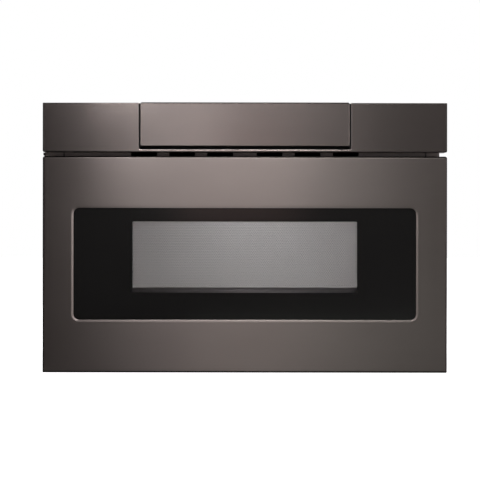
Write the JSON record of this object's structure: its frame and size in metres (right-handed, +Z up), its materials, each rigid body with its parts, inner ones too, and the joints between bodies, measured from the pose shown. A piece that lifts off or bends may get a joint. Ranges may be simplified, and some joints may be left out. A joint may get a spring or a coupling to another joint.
{
  "type": "built-in microwave drawer",
  "caption": "Built-in microwave oven drawer with a dark brushed steel front, a glass window, a rack-driven drawer on telescopic slides and a tilt-out control unit.",
  "frame": {"origin": "middle of the appliance's footprint, level with the lower edge of the drawer front", "axes": "+X to the right as seen from the front, +Y towards the back, +Z up; the drawer opens along -Y"},
  "size_m": [0.606, 0.588, 0.4048],
  "materials": {
    "black_stainless": "dark stainless, brushed across",
    "zinc_steel": "galvanised sheet",
    "dark_paint": "satin dark paint on steel",
    "enamel": "smooth light grey oven paint",
    "screen_steel": "perforated sheet",
    "dark_plastic": "moulded, fine grain",
    "white_plastic": "moulded acetal",
    "black_glass": "polished, printed black behind",
    "clear_glass": "polished",
    "ceramic_plate": "smooth glass ceramic",
    "copper": "varnished copper wire",
    "aluminium": "mill finish",
    "circuit_board": "solder mask"
  },
  "bodies": {
    "chassis": {"base_plate": "zinc_steel", "outer_wrap": "zinc_steel", "rear_panel": "zinc_steel", "cord_gland": "dark_plastic", "front_frame": "dark_paint", "top_strip": "black_stainless", "control_pocket": "dark_plastic", "vent_duct": "dark_plastic", "oven_cavity": "enamel", "cavity_floor": "enamel", "stirrer_well": "enamel", "stirrer_motor": "zinc_steel", "waveguide": "aluminium", "magnetron": "aluminium", "transformer_core": "zinc_steel", "primary_coil": "copper", "secondary_coil": "copper", "hv_capacitor": "aluminium", "fan_shroud": "dark_plastic", "fan_motor": "zinc_steel", "board_tray": "zinc_steel", "power_board": "circuit_board", "thermal_cutout": "dark_plastic", "oven_lamp": "zinc_steel", "drive_gearbox": "dark_plastic", "drive_motor": "zinc_steel", "mounting_flange_left": "dark_paint", "mounting_flange_right": "dark_paint", "rail_support_left": "zinc_steel", "rail_support_right": "zinc_steel", "slide_outer_left": "zinc_steel", "slide_outer_right": "zinc_steel", "interlock_switch_left": "dark_plastic", "interlock_switch_right": "dark_plastic"},
    "drawer": {"drawer_front": "black_stainless", "window_glass": "black_glass", "door_frame": "dark_paint", "door_screen": "screen_steel", "inner_pane": "clear_glass", "choke_cover": "dark_plastic", "drawer_box": "enamel", "drawer_floor": "ceramic_plate", "drive_rack": "white_plastic", "slide_inner_left": "zinc_steel", "slide_inner_right": "zinc_steel", "drawer_bracket_left": "zinc_steel", "drawer_bracket_right": "zinc_steel", "latch_head_left": "white_plastic", "latch_head_right": "white_plastic"},
    "left_slide_member": {"slide_middle_left": "zinc_steel"},
    "right_slide_member": {"slide_middle_right": "zinc_steel"},
    "pinion": {"drive_pinion": "white_plastic"},
    "control_unit": {"control_cover": "black_stainless", "control_housing": "dark_plastic", "touch_glass": "black_glass", "control_board": "circuit_board"},
    "fan": {"fan_impeller": "dark_plastic"},
    "stirrer": {"stirrer_blade": "aluminium"}
  },
  "joints": [
    {"name": "drawer_slide", "type": "slide", "parent": "chassis", "child": "drawer", "axis": [0, -1, 0], "range_m": [0, 0.381]},
    {"name": "left_member_slide", "type": "slide", "parent": "chassis", "child": "left_slide_member", "axis": [0, -1, 0], "range_m": [0, 0.191]},
    {"name": "right_member_slide", "type": "slide", "parent": "chassis", "child": "right_slide_member", "axis": [0, -1, 0], "range_m": [0, 0.191]},
    {"name": "pinion_spin", "type": "hinge", "parent": "chassis", "child": "pinion", "pos_m": [0.25, -0.23, 0.045], "axis": [1, 0, 0], "range_deg": [-1, 1286]},
    {"name": "control_tilt", "type": "hinge", "parent": "chassis", "child": "control_unit", "pos_m": [0, -0.283, 0.351], "axis": [1, 0, 0], "range_deg": [0, 80]},
    {"name": "fan_spin", "type": "hinge", "parent": "chassis", "child": "fan", "pos_m": [0.168, 0.2743, 0.108], "axis": [0, 1, 0], "continuous": true},
    {"name": "stirrer_spin", "type": "hinge", "parent": "chassis", "child": "stirrer", "pos_m": [0, -0.0437, 0.07], "axis": [0, 0, 1], "continuous": true}
  ],
  "couplings": [
    {"joint": "left_member_slide", "follows": "drawer_slide", "ratio": 0.5},
    {"joint": "right_member_slide", "follows": "drawer_slide", "ratio": 0.5},
    {"joint": "pinion_spin", "follows": "drawer_slide", "rad_per_m": 58.824}
  ]
}
